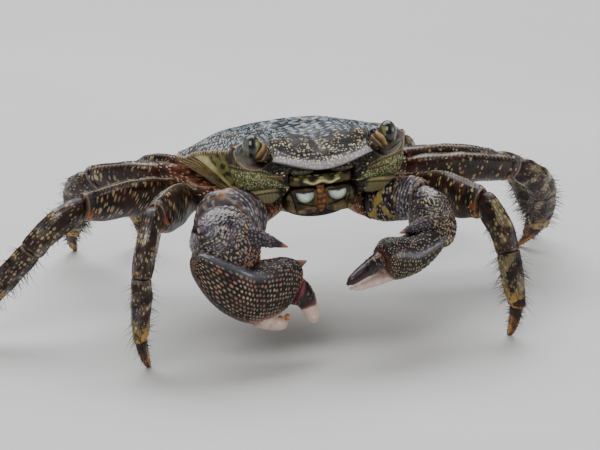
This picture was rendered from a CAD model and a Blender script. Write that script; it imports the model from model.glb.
"""A life-size museum model of a shore crab, standing still on a plain floor.

The shapes are worked out in millimetres and made in metres.  The crab faces -Y, its left is +X.
"""

import bpy
import numpy as np
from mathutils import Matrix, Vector


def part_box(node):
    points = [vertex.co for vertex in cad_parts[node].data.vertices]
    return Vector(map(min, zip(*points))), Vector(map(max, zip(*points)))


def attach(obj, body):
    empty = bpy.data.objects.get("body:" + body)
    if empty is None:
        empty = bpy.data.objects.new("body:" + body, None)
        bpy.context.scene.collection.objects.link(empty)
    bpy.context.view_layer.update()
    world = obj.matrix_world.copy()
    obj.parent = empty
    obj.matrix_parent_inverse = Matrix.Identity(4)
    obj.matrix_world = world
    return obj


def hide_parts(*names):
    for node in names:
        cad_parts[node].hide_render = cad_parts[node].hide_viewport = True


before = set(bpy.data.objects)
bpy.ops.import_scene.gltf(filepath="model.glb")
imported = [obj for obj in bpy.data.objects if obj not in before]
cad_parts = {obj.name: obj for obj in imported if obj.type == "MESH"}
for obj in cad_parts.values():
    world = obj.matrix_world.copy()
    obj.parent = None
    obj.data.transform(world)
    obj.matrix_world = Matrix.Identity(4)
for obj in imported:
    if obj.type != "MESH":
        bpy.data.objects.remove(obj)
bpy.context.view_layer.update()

MM = 0.001
PI = np.pi


# ---- small maths ----
def arr(*values):
    """The values as an array of decimal numbers."""
    return np.array(values, float)


def smooth(start, end, value):
    """0 before start, 1 after end, and an S curve between."""
    share = np.clip((value - start) / (end - start), 0, 1)
    return share * share * (3 - 2 * share)


def bump(middle, width, value):
    """A bell: 1 at the middle, about a third one width away."""
    return np.exp(-(((value - middle) / width) ** 2))


def swell(shape, share):
    """A straight change from the first value to the second, plus the third times sin(pi share)."""
    return shape[0] + (shape[1] - shape[0]) * share + shape[2] * np.sin(PI * share)


def circle(count):
    """Even turns once round, without the last one."""
    return np.linspace(0, 2 * PI, count, endpoint=False)


def unit(vectors):
    """Each vector divided by its length."""
    vectors = np.asarray(vectors, float)
    return vectors / np.maximum(np.linalg.norm(vectors, axis=-1, keepdims=True), 1e-9)


def lerp(start, end, share):
    """The start plus that share of the way to the end."""
    return start + (end - start) * share


def tone(code):
    """The linear colour of a painter's six-digit colour code; what is a colour already stays as it is."""
    if not isinstance(code, str):
        return code
    value = np.array([int(code[i:i + 2], 16) for i in (0, 2, 4)]) / 255
    return np.where(value > 0.04045, ((value + 0.055) / 1.055) ** 2.4, value / 12.92)


def chance(column, row, seed):
    """A fixed random number from 0 to 1 for every whole-numbered cell."""
    value = np.sin(column * 127.1 + row * 311.7 + seed * 74.7) * 43758.5453
    return value - np.floor(value)


def drift(points, length, seed, count=9):
    """Soft unevenness about -1 to 1: a sum of sine waves of nearly one length in all directions."""
    rng = np.random.default_rng(seed)
    total = 0
    for way in unit(rng.normal(size=(count, 3))):
        wave = length * rng.uniform(0.7, 1.4)
        total = total + np.sin(points @ way * 2 * PI / wave + rng.uniform(0, 2 * PI))
    return total * 1.1 / np.sqrt(count)


def cloud(points, length, seed, start, end):
    """Soft patches: 0 where the drift is under start, 1 where it is over end."""
    return smooth(start, end, drift(points, length, seed))


def beads(across, along, pitch_across, pitch_along, seed, radius=0.45, jitter=0.22):
    """Grains on a brick grid, each shifted a little.

    A grain is the dome 1 - (distance / radius)^2 of its own radius, and the highest one wins.
    Gives the height and the grain's own random number.
    """
    v = along / pitch_along
    height = np.zeros(np.broadcast(across, along).shape)
    name = np.zeros_like(height)
    for row_step in (-1, 0, 1):
        row = np.floor(v) + row_step
        u = across / pitch_across + 0.5 * np.mod(row, 2)
        for column_step in (-1, 0, 1):
            column = np.floor(u) + column_step
            off_u = u - column - 0.5 - jitter * (chance(column, row, seed) - 0.5) * 2
            off_v = v - row - 0.5 - jitter * (chance(column, row, seed + 1) - 0.5) * 2
            own = chance(column, row, seed + 2)
            size = radius * (0.65 + 0.5 * own)
            dome = np.clip(1 - (off_u ** 2 + off_v ** 2) / size ** 2, 0, 1)
            name = np.where(dome > height, own, name)
            height = np.maximum(height, dome)
    return height, name


def painted(rings, base, *layers):
    """Lays each (colour, mask) over the base in turn: skin + (colour - skin) times mask."""
    skin = np.broadcast_to(tone(base), rings.shape)
    for colour, mask in layers:
        skin = skin + (tone(colour) - skin) * np.clip(mask, 0, 1)[..., None]
    return skin


def laid(rings, *fields):
    """Grain fields (zone, across, along, colour), counted in grains; each fades out at half its zone."""
    flow, grain = np.zeros(rings.shape), np.zeros(rings.shape)
    for zone, across, along, colour in fields:
        zone = np.broadcast_to(zone, rings.shape[:-1])
        inside = (zone > 0.5)[..., None]
        way = np.stack([across + 0 * zone, along + 0 * zone, np.clip(2 * zone - 1, 0, 1)], -1)
        flow, grain = np.where(inside, way, flow), np.where(inside, tone(colour), grain)
    return flow, grain


# ---- meshes ----
def shell(rings, skin, wet=0.5, grains=(0, 0)):
    """A closed surface from rings of points [ring, column, xyz]; the end rings close on their middles."""
    count, columns = rings.shape[:2]
    flat = rings.reshape(-1, 3)
    points = np.vstack([flat, rings[0].mean(0), rings[-1].mean(0)])
    row, column = np.meshgrid(np.arange(count - 1), np.arange(columns), indexing="ij")
    after = (column + 1) % columns
    quads = np.stack([row * columns + column, row * columns + after,
                      (row + 1) * columns + after, (row + 1) * columns + column], -1).reshape(-1, 4)
    step = np.arange(columns)
    turn = (step + 1) % columns
    last = (count - 1) * columns
    first_fan = np.stack([turn, step, np.full(columns, count * columns)], -1)
    last_fan = np.stack([last + step, last + turn, np.full(columns, count * columns + 1)], -1)
    triangles = np.vstack([first_fan, last_fan])

    def per_point(values, size):
        grid = np.broadcast_to(np.asarray(values, float), (count, columns) + size)
        return np.concatenate([grid.reshape((-1,) + size), grid[:1].mean(1), grid[-1:].mean(1)])

    part = {
        "points": points, "quads": quads, "triangles": triangles,
        "skin": per_point(tone(skin), (3,)), "wet": per_point(wet, ()),
        "flow": per_point(grains[0], (3,)), "grain": per_point(grains[1], (3,)),
    }
    corner = points[np.vstack([quads[:, [0, 1, 2]], quads[:, [0, 2, 3]], triangles])]
    volume = np.einsum("ij,ij->i", corner[:, 0], np.cross(corner[:, 1], corner[:, 2])).sum()
    if volume < 0:
        part["quads"] = quads[:, ::-1]
        part["triangles"] = triangles[:, ::-1]
    return part


def dressed(rings, wet, base, *layers, grains=()):
    """A closed surface with its skin painted and its grains laid."""
    return shell(rings, painted(rings, base, *layers), wet, laid(rings, *grains) if grains else (0, 0))


def outward(rings):
    """Unit normals of closed rings, away from their middle line."""
    around = np.roll(rings, -1, 1) - np.roll(rings, 1, 1)
    along = np.gradient(rings, axis=0)
    normal = unit(np.cross(along, around))
    middle = rings.mean(1, keepdims=True)
    sign = np.sign(((rings - middle) * normal).sum(-1, keepdims=True).sum(1, keepdims=True))
    return normal * np.where(sign == 0, 1, sign)


def placed(thing):
    """Puts a new object into the scene."""
    bpy.context.scene.collection.objects.link(thing)
    return thing


def raised(rings, height):
    """Moves every point of closed rings outward by its height."""
    return rings + outward(rings) * height[..., None]


def piece(name, parts, material, slot, *nodes):
    """One object of closed surfaces: the crab's own millimetres, moved onto the solids, made in metres."""
    def stacked(key, starts=None):
        return np.concatenate([part[key] + start for part, start in zip(parts, starts or [0] * len(parts))])

    points = stacked("points") + SHIFT
    starts = [0, *np.cumsum([len(part["points"]) for part in parts[:-1]])]
    quads, triangles = (stacked(key, starts) for key in ("quads", "triangles"))
    mesh = bpy.data.meshes.new(name)
    mesh.vertices.add(len(points))
    mesh.vertices.foreach_set("co", (points * MM).astype(np.float32).ravel())
    corners = np.concatenate([quads.ravel(), triangles.ravel()]).astype(np.int32)
    mesh.loops.add(len(corners))
    mesh.loops.foreach_set("vertex_index", corners)
    sizes = np.repeat([4, 3], [len(quads), len(triangles)])
    mesh.polygons.add(len(sizes))
    mesh.polygons.foreach_set("loop_start", (np.cumsum(sizes) - sizes).astype(np.int32))
    mesh.polygons.foreach_set("use_smooth", np.ones(len(sizes), bool))
    mesh.update(calc_edges=True)
    for key, kind, field in (("skin", "FLOAT_COLOR", "color"), ("grain", "FLOAT_COLOR", "color"),
                             ("flow", "FLOAT_VECTOR", "vector"), ("wet", "FLOAT", "value")):
        values = stacked(key)
        if field == "color":
            values = np.hstack([np.clip(values, 0, 1), np.ones((len(values), 1))])
        layer = mesh.attributes.new(key, kind, "POINT")
        layer.data.foreach_set(field, np.ascontiguousarray(values, np.float32).ravel())
    if "unwrap" in parts[0]:
        sheet = stacked("unwrap")[corners]
        mesh.uv_layers.new(name="OFBake").data.foreach_set("uv", sheet.astype(np.float32).ravel())
    mesh.materials.append(material)
    thing = placed(bpy.data.objects.new(name, mesh))
    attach(thing, "root")
    if nodes:
        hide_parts(*nodes)


# ---- shader groups and materials ----
def node(tree, kind, inputs, output=0, **settings):
    """Adds a shader node; each input takes a number, a colour or the socket of another node."""
    made = tree.nodes.new("ShaderNode" + kind)
    for name, value in settings.items():
        setattr(made, name, value)
    for name, value in inputs.items():
        if isinstance(value, bpy.types.NodeSocket):
            tree.links.new(value, made.inputs[name])
        else:
            made.inputs[name].default_value = value
    return made.outputs[output]


def maths(tree, operation, *values, clamp=False):
    """One sum on numbers."""
    return node(tree, "Math", dict(enumerate(values)), operation=operation, use_clamp=clamp)


def remap(tree, value, low, high, new_low=0.0, new_high=1.0):
    """A range moved onto another along an S curve."""
    limits = {"Value": value, "From Min": low, "From Max": high, "To Min": new_low, "To Max": new_high}
    return node(tree, "MapRange", limits, "Result", interpolation_type="SMOOTHSTEP")


def mixed(tree, share, first, second, kind="MIX"):
    """Two colours blended by a share."""
    ends = {0: share, 6: first, 7: second}
    return node(tree, "Mix", ends, 2, data_type="RGBA", blend_type=kind, clamp_factor=True)


def noise(tree, place, scale, detail=3.0, rough=0.55):
    """Cloudy noise from 0 to 1."""
    inputs = {"Vector": place, "Scale": scale, "Detail": detail, "Roughness": rough}
    return node(tree, "TexNoise", inputs, "Fac")


def build_shell_finish():
    """Mottled skin with grains along its flow: one Voronoi cell is one grain, under a film of water."""
    group = bpy.data.node_groups.new("shell finish", "ShaderNodeTree")
    colours, numbers = ("Skin", "Grain", "Accent"), ("Wet", "Mottle", "Mottle Scale", *GRAIN_RULES)
    for way, kind, titles in (("INPUT", "Color", colours), ("INPUT", "Vector", ("Flow",)),
                              ("INPUT", "Float", numbers), ("OUTPUT", "Color", ("Color",)),
                              ("OUTPUT", "Float", ("Roughness", "Film", "Height"))):
        for title in titles:
            group.interface.new_socket(title, in_out=way, socket_type="NodeSocket" + kind)
    take, result = group.nodes.new("NodeGroupInput").outputs, group.nodes.new("NodeGroupOutput")

    def multiply(first, second, clamp=False):
        return maths(group, "MULTIPLY", first, second, clamp=clamp)
    place = node(group, "TexCoord", {}, "Object")
    mottle = noise(group, place, take["Mottle Scale"], 5.0, 0.65)
    lifted, lowered = (
        mixed(group, 1.0, take["Skin"], (level, level, level, 1), "MULTIPLY") for level in (2, 0.35))
    light, dark = (
        multiply(remap(group, mottle, *ends), take["Mottle"]) for ends in ((0.52, 0.72), (0.48, 0.28)))
    colour = mixed(group, dark, mixed(group, light, take["Skin"], lifted), lowered)
    kept_zone = node(group, "SeparateXYZ", {0: take["Flow"]}, "Z")
    cells = node(group, "TexVoronoi", {"Vector": take["Flow"], "Scale": 1.0, "Randomness": 0.88},
                 voronoi_dimensions="2D").node.outputs
    own = node(group, "SeparateColor", {0: cells["Color"]}).node.outputs
    size = multiply(maths(group, "MULTIPLY_ADD", own[2], 0.65, 0.58), take["Grain Size"])
    dome = maths(group, "SUBTRACT", 1.0, maths(group, "DIVIDE", cells["Distance"], size), clamp=True)
    kept = multiply(maths(group, "LESS_THAN", own[0], take["Grain Share"]), kept_zone)
    mask = multiply(multiply(dome, 3.0, True), kept)
    accent = maths(group, "LESS_THAN", own[1], take["Accent Share"])
    colour = mixed(group, mask, colour, mixed(group, accent, take["Grain"], take["Accent"]))
    streak = remap(group, noise(group, place, 700.0, 2.0), 0.35, 0.65, -0.07, 0.1)
    rough = maths(group, "ADD", maths(group, "MULTIPLY_ADD", take["Wet"], -0.42, 0.62), streak, clamp=True)
    rough = maths(group, "MAXIMUM", rough, 0.14)
    film = remap(group, take["Wet"], 0.45, 1.0, 0.0, 0.75)
    height = multiply(noise(group, place, 4200.0, 3.0, 0.6), 0.4)
    height = maths(group, "ADD", height, multiply(mask, 0.8))
    for socket, title in ((colour, "Color"), (rough, "Roughness"), (film, "Film"), (height, "Height")):
        group.links.new(socket, result.inputs[title])
    return group


GRAIN_RULES = ("Grain Size", "Grain Share", "Accent Share")
SHELL_FINISH = build_shell_finish()


def shell_material(name, mottle, mottle_scale, accent, accent_share, size, share, bump_depth=0.12):
    """A glossy shell whose skin, grains and wetness are read from the mesh."""
    material = bpy.data.materials.new(name)
    material.use_nodes = True
    tree = material.node_tree
    surface = tree.nodes["Principled BSDF"]
    finish = tree.nodes.new("ShaderNodeGroup")
    finish.node_tree = SHELL_FINISH
    for title, output in (("Skin", "Color"), ("Grain", "Color"), ("Flow", "Vector"), ("Wet", "Fac")):
        read = node(tree, "Attribute", {}, output, attribute_name=title.lower())
        tree.links.new(read, finish.inputs[title])
    numbers = zip(("Accent", "Mottle", "Mottle Scale", *GRAIN_RULES),
                  ((*tone(accent), 1), mottle, mottle_scale, size, share, accent_share))
    for title, value in numbers:
        finish.inputs[title].default_value = value
    relief = {"Strength": 0.6, "Distance": bump_depth * MM, "Height": finish.outputs["Height"]}
    normal = node(tree, "Bump", relief)
    for read, socket in ((finish.outputs["Color"], "Base Color"), (finish.outputs["Roughness"], "Roughness"),
                         (finish.outputs["Film"], "Coat Weight"), (normal, "Normal")):
        tree.links.new(read, surface.inputs[socket])
    surface.inputs["Specular IOR Level"].default_value = 0.3
    surface.inputs["Coat Roughness"].default_value = 0.16
    return material


BACK_SHELL = shell_material("carapace shell", 0.5, 300.0, "c4b48c", 0.12, 0.4, 0.86, 0.14)
BELLY_SHELL = shell_material("belly shell", 0.6, 250.0, "c9926a", 0.25, 0.4, 0.7)
MOUTH_SHELL = shell_material("mouth shell", 0.6, 420.0, "b0602c", 0.25, 0.34, 0.5)
LEG_SHELL = shell_material("leg shell", 0.6, 420.0, "8f5a34", 0.12, 0.36, 0.74)
TIP_SHELL = shell_material("leg tip shell", 0.5, 500.0, "1c1009", 0.5, 0.36, 0.5)
CLAW_SHELL = shell_material("claw shell", 0.5, 380.0, "a5683e", 0.12, 0.38, 0.75)
FINGER_SHELL = shell_material("finger shell", 0.35, 450.0, "7a4a30", 0.3, 0.3, 0.4, 0.06)
STALK_SHELL = shell_material("eyestalk shell", 0.2, 900.0, "f0e2b0", 0.3, 0.3, 0.5, 0.04)
CORNEA = shell_material("cornea", 0.15, 600.0, "1c1f1c", 0.3, 0.3, 0.5, 0.01)
BRISTLE = shell_material("bristle", 0.2, 600.0, "2a211a", 0.2, 0.3, 0.5, 0.01)


# ---- sizes shared with the solids ----
GAP = 0.3
SEAM = GAP / 2
BODY_HEIGHT = 45.8
PITCH = np.radians(9.9)
ROLL = np.radians(-1.3)
MIDDLE_Y = 4.0
FRONT_OUTLINE = (34, 29, 3)
SIDE_OUTLINE = (28.8, 45.6, 1.7)
BACK_OUTLINE = (28.8, 24.5, 2.3)
DOME_TOP = 4.7
ORBIT_CENTRE = arr(17.3, -25.4, 0.9)
ORBIT_RADII = arr(5.2, 6.4, 4.9)
TOOTH_BASE = arr(20.3, -18.2, -0.2)
TOOTH_TIP = arr(22.3, -21.8, 2)
EYE_CENTRE = arr(17.7, -23.1, 1.7)
EYE_RADII = arr(2.2, 2.2, 2.9)
STALK_ROOT = arr(13.5, -21.6, -1.6)
THORAX_CENTRE = arr(0, 2, -10)
THORAX_RADII = arr(17.5, 21.5, 7.4)

TURN_BODY = (
    np.array([[np.cos(ROLL), 0, np.sin(ROLL)], [0, 1, 0], [-np.sin(ROLL), 0, np.cos(ROLL)]])
    @ np.array([[1, 0, 0], [0, np.cos(PITCH), np.sin(PITCH)], [0, -np.sin(PITCH), np.cos(PITCH)]]))


def to_floor(points):
    """From the tilted body's own frame to the floor's."""
    return points @ TURN_BODY.T + arr(0, 0, BODY_HEIGHT)


def to_body(points):
    """From the floor's frame back to the tilted body's own."""
    return (points - arr(0, 0, BODY_HEIGHT)) @ TURN_BODY


eye_low, eye_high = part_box("eye_left")
SHIFT = (np.array(eye_low) + np.array(eye_high)) / 2 / MM - to_floor(EYE_CENTRE)


# ---- carapace ----
def outline_radius(outline, angle):
    """A superellipse about the middle of the back."""
    half_width, reach, power = outline
    across = abs(np.sin(angle)) / half_width
    ahead = abs(np.cos(angle)) / reach
    return (across ** power + ahead ** power) ** (-1 / power)


def rim_line(angle):
    """The edge of the back: a blunt front, sides that widen backward, a rounded rear."""
    ahead = np.minimum(outline_radius(FRONT_OUTLINE, angle), outline_radius(SIDE_OUTLINE, angle))
    radius = np.where(np.cos(angle) > 0, ahead, outline_radius(BACK_OUTLINE, angle))
    turn = np.degrees(abs(angle))
    height = -5.2 + 5.7 * smooth(0, 44, turn) - 3 * smooth(50, 95, turn) - 1.6 * smooth(110, 180, turn)
    return np.stack([radius * np.sin(angle), MIDDLE_Y - radius * np.cos(angle), height], -1)


def hollowed(points, centre, radii, power=10):
    """Points inside an ellipsoid move out to its skin, and those near it are lifted to a rounded lip."""
    away = (points - centre) / radii
    distance = np.maximum(np.linalg.norm(away, axis=-1, keepdims=True), 1e-3)
    pushed = (distance ** power + 1) ** (1 / power)
    return centre + away / distance * pushed * radii, smooth(1.05, 0.9, distance[..., 0])


def spike(base, tip, radius, skin, tip_skin, rings=8, columns=10, wet=0.6, rough_seed=None):
    """A pointed cone whose radius falls as (1 - 0.97 t)^0.8, with grains where a seed for them is given."""
    share, turn = np.linspace(0, 1, rings), circle(columns)
    axis = unit(tip - base)
    side = unit(np.cross(axis, arr(0.3, 0.2, 1)))
    up = np.cross(side, axis)
    round_way = np.cos(turn)[:, None] * side + np.sin(turn)[:, None] * up
    size = radius * (1 - 0.97 * share) ** 0.8
    cone = lerp(base, tip, share[:, None])[:, None] + round_way[None] * size[:, None, None]
    change = (0.2, 0.8) if rough_seed is None else (0.8, 0.93)
    colours = lerp(tone(skin), tone(tip_skin), smooth(*change, share)[:, None])[:, None]
    if rough_seed is None:
        return shell(cone, colours, wet)
    length = np.linalg.norm(tip - base)
    grain, _ = beads(share[:, None] * length, turn[None, :] * radius, 0.9, 0.85, rough_seed, 0.42, 0.3)
    grain = grain * smooth(0.75, 0.6, share)[:, None]
    return dressed(raised(cone, 0.25 * grain), wet, colours, ("857a80", 0.8 * smooth(0.3, 0.8, grain)))


def stria_lines(x, y):
    """Lines across the middle of the back, oblique toward its sides: a bent coordinate of y and |x|."""
    reach = np.maximum(0, abs(x) - 5)
    stria = y + 1.5 * (np.sqrt(reach ** 2 + 25) - 5)
    along = x * 1.2 - np.sign(x) * 0.8 * y * smooth(6, 16, abs(x))
    return along, stria


def belly_height(y):
    """The plane under the back's shell, which rises toward the rear."""
    return -9.6 + 0.2 * y


def carapace_rings():
    """Rings from the middle of the back to the rim, down the side wall and under it.

    The dome falls from its top to the rim as (1 - reach^2.3)^power, the power growing from 0.5 to 0.9.
    """
    turn = np.linspace(-PI, PI, 480, endpoint=False)
    angle = (turn - 0.35 * np.sin(turn))[None, :]
    turned = np.degrees(abs(angle))
    rim, middle = rim_line(angle), arr(0, MIDDLE_Y, 0)
    reach = np.sin(np.linspace(0, PI / 2, 119)[1:])[:, None]
    top = lerp(middle, rim, reach[..., None])
    dome_power = 0.5 + 0.4 * smooth(30, 90, turned)
    top[..., 2] = rim[..., 2] + (DOME_TOP - rim[..., 2]) * (1 - reach ** 2.3) ** dome_power
    edge = lerp(middle, rim, 0.87)
    edge[..., 2] = belly_height(edge[..., 1]) + 0.6 * smooth(18, 26, turned) + 1.9 * smooth(32, 75, turned)
    share = np.linspace(0, 1, 57)[1:][:, None]
    outside = np.stack([np.sin(angle), -np.cos(angle), 0 * angle], -1)
    wall = lerp(rim, edge, share[..., None]) + outside * (1.1 * np.sin(PI * share))[..., None]
    inward = np.linspace(0, 0.97, 10)[1:][:, None]
    under = lerp(edge, middle, inward[..., None])
    under[..., 2] = lerp(edge[..., 2], belly_height(under[..., 1]), smooth(0, 0.3, inward))
    rings = np.concatenate([top, wall, under])
    wall_share = np.concatenate([0 * reach - 1, share, np.full((9, 1), 2.0)]) + 0 * angle
    row_reach = np.concatenate([reach, 0 * share + 1, 0.9 * np.ones((9, 1))]) + 0 * angle
    return rings, wall_share, row_reach, turned + 0 * wall_share


def carapace_parts():
    """The back's shell: striae behind, four dark lobes and a spotted plate in front, chased side walls."""
    rings, wall_share, row_reach, turned = carapace_rings()
    x, y, z = rings[..., 0], rings[..., 1], rings[..., 2]
    out = abs(x)
    on_top = wall_share < 0
    on_wall = (wall_share >= 0) & (wall_share <= 1)
    normal = outward(rings)

    # the back: the plate, its lobes and the striae behind them
    plate_top = -2.3 + 3.2 * np.clip(out / 12, 0, 1.1) ** 3
    plate = on_top * smooth(0.25, -0.35, z - plate_top) * smooth(12.7, 12.1, out) * (y < 0)
    lobe_places = ((-9.6, 2.6), (-4.0, 2.6), (4.4, 2.8), (10.8, 2.6))
    lobes = sum(bump(place, width, x) for place, width in lobe_places) * bump(-19.8, 2.3, y) * on_top
    dark_front = on_top * smooth(2.9, 1.6, z + 0.4 * drift(rings, 4, 30)) * smooth(14.5, 13, out) * (y < -10)
    groove = bump(0.4, 0.9, x) * smooth(-12, -16, y) * smooth(-23.6, -22, y) * on_top
    plate_end = on_top * bump(12.5, 0.45, out) * smooth(-17.5, -19, y)
    neck_groove = bump(11.5 + 0.1 * y, 1.5, out) * smooth(-15, -9, y) * smooth(9, 3, y)
    heart_groove = bump(5.5, 1.4, y + 0.02 * x ** 2) * smooth(11, 7, out)
    along, stria = stria_lines(x, y)
    dashes = on_top * smooth(1.0, 0.985, row_reach) * (1 - dark_front) * (1 - plate)
    relief = 1.1 * lobes - 0.6 * groove - 0.6 * plate_end - 0.4 * neck_groove - 0.35 * heart_groove
    relief = on_top * relief + 0.3 * on_top * drift(rings, 13, 5) * (1 - plate)
    relief = relief + 0.08 * np.cos(stria * 2 * PI / 0.8) * dashes + 0.25 * plate * bump(-3.6, 1.2, z)

    # the wall: rear fan, olive band, green plate, lower strip
    corner = turned + 7 * (wall_share - 0.4)
    front_wall = on_wall * smooth(44.5, 43.5, corner)
    low_line = 0.62 + 0.15 * smooth(20, 45, turned) - 0.12 * smooth(50, 80, turned)
    plate_low = 0.6 + 0.13 * smooth(16, 40, turned)
    plate_high = 0.56 - 0.25 * smooth(15.5, 31, turned)
    green = front_wall * smooth(-0.01, 0.02, plate_low - wall_share)
    green = green * smooth(-0.01, 0.02, wall_share - plate_high) * smooth(15, 16, turned)
    slant = turned + 35 * wall_share
    above_line = on_wall * smooth(0.02, -0.02, wall_share - low_line)
    band = above_line * smooth(75, 73, slant) * smooth(44, 45, corner)
    pale_band = band * smooth(61, 64, turned + 23 * wall_share)
    fan = above_line * smooth(74, 76, slant)
    fan_across, fan_down = (turned - 44) * 0.5, (0.82 - wall_share) * 11
    fan_turn = np.arctan2(fan_down, fan_across) * 13
    strip = on_wall * smooth(-0.01, 0.03, wall_share - low_line) * smooth(15, 16, turned)
    strip_arc = turned * 0.5
    chin = on_wall * smooth(0.1, -0.5, z + 9.9 + 3.3 * smooth(15.5, 30, turned)) * smooth(34, 30, turned)
    wall_groove = on_wall * bump(44, 0.8, corner) * smooth(0.78, 0.7, wall_share)
    lines = on_wall * (bump(low_line, 0.014, wall_share) + bump(low_line + 0.12, 0.012, wall_share))
    lines = lines * smooth(16, 18, turned)
    crest_beads = front_wall * bump(plate_high - 0.05, 0.018, wall_share) * smooth(16, 19, turned)
    knobs = 0.5 + 0.5 * np.cos(turned * 2 * PI / 1.3)
    bulge = green * np.sqrt(np.clip((plate_low - wall_share) * (wall_share - plate_high) * 30, 0, 1))
    relief = relief + 0.7 * bulge - 0.7 * wall_groove - 0.3 * lines + 0.12 * np.cos(fan_turn * 2 * PI) * fan
    relief = relief + 0.25 * pale_band + 0.08 * np.sin(strip_arc * 2 * PI / 0.8) * strip
    relief = relief + 0.35 * crest_beads * (0.4 + 0.6 * knobs)

    # the rims: fine milling at the sides, a smooth beaded lip in front with a hollow under it
    near_rim = np.where(on_top, bump(1, 0.01, row_reach), bump(0, 0.055, wall_share) * on_wall)
    side_rim = near_rim * smooth(42, 46, turned) * smooth(150, 120, turned)
    lip = near_rim * smooth(28, 25, turned)
    relief = relief + 0.25 * side_rim + 0.35 * lip
    milling = 0.5 + 0.5 * np.cos(turned * 2 * PI / 1.1)
    relief = relief + 0.25 * side_rim * milling + 0.12 * lip * np.cos(turned * 2 * PI / 1.4)
    rings = rings + normal * relief[..., None]
    rings[..., 1] += 1.3 * chin
    under_lip = on_wall * smooth(0.02, 0.09, wall_share) * smooth(29, 24, turned)
    rings[..., 1] += 1.6 * under_lip * smooth(0.62, 0.4, wall_share)
    half_mouth = 8.1 + 0.4 * np.maximum(0, -9.3 - rings[..., 2])
    recess = smooth(0.9, 0, abs(rings[..., 0]) - half_mouth) * smooth(-5.6, -6.4, rings[..., 2]) * on_wall
    rings[..., 1] += recess * np.maximum(0, -18.6 - rings[..., 1])
    orbit = 0
    for side in (-1, 1):
        rings, inside = hollowed(rings, ORBIT_CENTRE * arr(side, 1, 1), ORBIT_RADII)
        orbit = np.maximum(orbit, inside)
    lip_ring = bump(0.35, 0.22, orbit)

    wet = np.where(on_top, 0.55 * smooth(1.0, 3.6, z) + 0.15 * drift(rings, 8, 37) + 0.12, 0.3)
    wet = np.maximum(wet, 0.8 * plate * bump(-3.0, 1.0, z) * 0.6)
    layers = (
        ("282d34", on_top * (0.4 + 0.6 * drift(rings, 7, 31))),
        ("0f0d0c", dark_front),
        ("241813", dark_front * smooth(0.3, 0.8, lobes)),
        ("4a464d", dark_front * smooth(0.35, 0.1, lobes) * cloud(rings, 3, 33, 0.0, 1.0)),
        ("554e56", plate * (0.8 + 0.3 * drift(rings, 3, 34))),
        ("7d7580", plate * smooth(-3.2, -4.6, z) * (0.6 + 0.4 * drift(rings, 2, 38))),
        ("6f675e", 0.5 * groove * dark_front),
        ("100c0b", plate_end),
        ("1f1912", on_wall * 1.0),
        ("4d4a30", front_wall * cloud(rings, 2.4, 46, -0.2, 0.8) * (1 - under_lip)),
        ("77743a", band),
        ("16120a", band * cloud(rings, 2.2, 45, 0.1, 0.5) * (1 - pale_band)),
        ("cdc68c", pale_band * (0.8 + 0.3 * drift(rings, 4, 35))),
        ("1a100a", fan),
        ("b8964f", 0.9 * fan * smooth(0.1, 0.8, np.cos(fan_turn * 2 * PI)) * smooth(3, 8, fan_across)),
        ("59603a", green * (0.85 + 0.3 * drift(rings, 3, 47))),
        ("1d1a10", green * cloud(rings, 1.6, 48, 0.45, 0.75) * smooth(26, 34, turned)),
        ("77714e", strip * smooth(0.55, 0.2, wall_share - low_line)),
        ("938c68", strip * smooth(0.25, 0.9, np.sin(strip_arc * 2 * PI / 0.8)) * 0.5),
        ("0e0a08", np.maximum(lines, wall_groove)),
        ("b9a877", 0.7 * on_wall * bump(low_line + 0.06, 0.02, wall_share) * smooth(20, 24, turned)),
        ("120d09", chin),
        ("33231a", side_rim),
        ("c2b088", side_rim * smooth(0.4, 0.8, milling)),
        ("aaa2a8", lip * 0.9),
        ("9c8f6c", crest_beads * knobs),
        ("14100d", under_lip * (1 - green) * smooth(26, 22, turned)),
        ("6b6458", orbit * (0.9 + 0.3 * drift(rings, 2.5, 49))),
        ("918b82", orbit * smooth(19.0, 21.5, abs(rings[..., 0])) * (0.6 + 0.5 * drift(rings, 1.5, 50))),
        ("7a6c5e", orbit * smooth(-1.2, -3.0, rings[..., 2]) * (0.5 + 0.6 * drift(rings, 1.2, 51))),
        ("17110e", orbit * smooth(18.2, 15.6, abs(rings[..., 0]) + 0.5 * drift(rings, 2, 36))),
        ("b39f7c", 0.9 * lip_ring * smooth(15.0, 17.0, abs(rings[..., 0]))),
        ("1d1710", recess),
    )
    grains = (
        (dashes, along / 3.0, stria / 0.8 - 0.028 * np.minimum(stria, 0) ** 2 + 0.5, "a3b1bd"),
        (dark_front * (1 - plate) * (0.75 + 0.35 * drift(rings, 3, 39)), x / 0.8, y / 0.95 + z / 0.95 + 40,
         "c6b792"),
        (plate, x / 0.66 + 60, z / 0.72 + y / 2.2, "d2ccae"),
        (green, turned * 1.25 + 90, wall_share * 22, "a6a97a"),
        (under_lip * (1 - green) * (1 - recess) * smooth(28, 25, turned), x / 0.9 + 30, z / 0.7, "4f4b38"),
        (fan * 0.9, fan_turn * 2.0, fan_across * 0.6, "a58a58"),
    )
    parts = [dressed(to_floor(rings), np.clip(wet, 0.05, 0.95), "121417", *layers, grains=grains)]
    for side in (-1, 1):
        base, tip = (to_floor(point * arr(side, 1, 1)) for point in (TOOTH_BASE, TOOTH_TIP))
        parts.append(spike(base, tip, 1.3, "2b1d18", "7d4c36", 12, 14, 0.3))
    return parts


# ---- underside and face ----
def squared(turn, power):
    """Cosine and sine, each with its sign kept and its size raised to the power: a circle made squarer."""
    return (np.sign(wave) * abs(wave) ** power for wave in (np.cos(turn), np.sin(turn)))


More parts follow.
